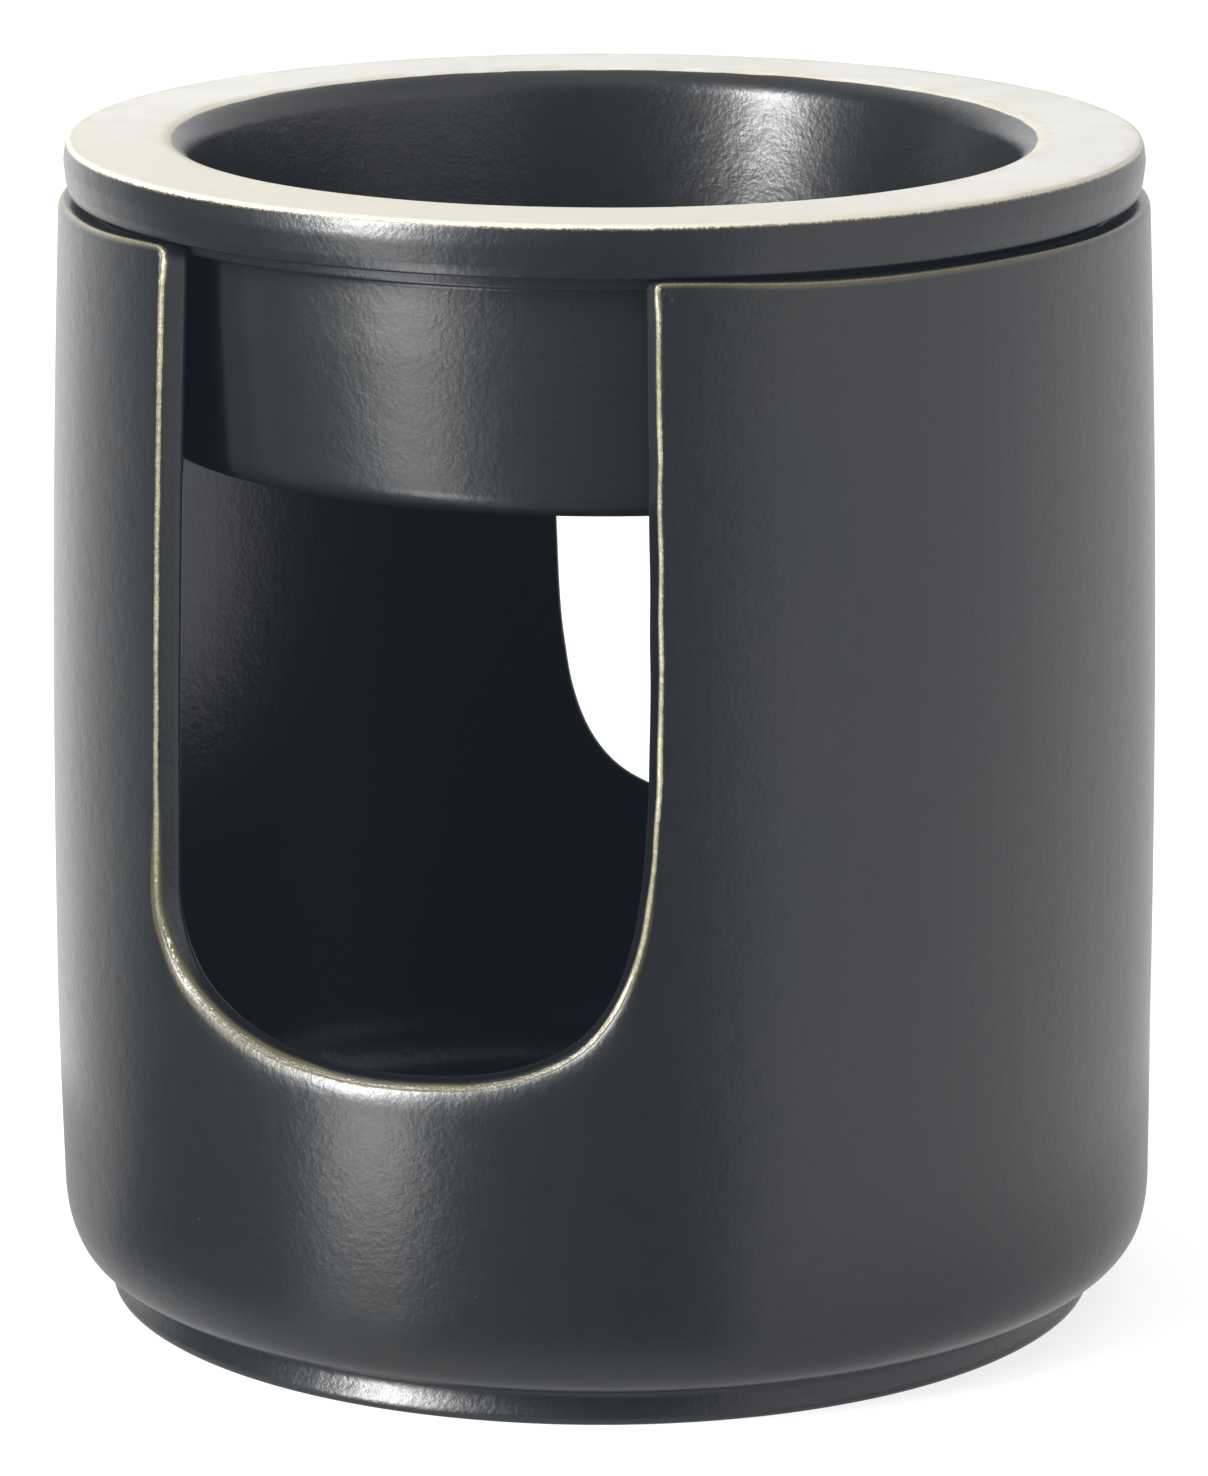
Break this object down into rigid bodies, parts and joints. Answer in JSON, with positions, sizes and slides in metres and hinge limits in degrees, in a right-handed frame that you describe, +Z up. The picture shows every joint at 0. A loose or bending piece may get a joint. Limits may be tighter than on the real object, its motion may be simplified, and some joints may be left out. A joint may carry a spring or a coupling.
{
  "type": "tealight wax melt burner",
  "caption": "Round stoneware burner for wax melts or scented oil: a body with arched windows front and back, and a loose flanged dish that rests on its rim.",
  "frame": {"origin": "centre of the foot ring at the ground line", "axes": "+Z up along the turned axis, windows face -Y (front) and +Y (back)"},
  "size_m": [0.1004, 0.1004, 0.1061],
  "materials": {
    "body_glaze": "satin near-black ceramic glaze on stoneware",
    "dish_glaze": "satin near-black ceramic glaze on stoneware, bare cream clay on the flange top"
  },
  "bodies": {
    "body": {"burner_body": "body_glaze"},
    "dish": {"dish": "dish_glaze"}
  },
  "joints": [
    {"name": "dish_lift", "type": "slide", "parent": "body", "child": "dish", "axis": [0, 0, 1], "range_m": [0, 0.04]}
  ]
}
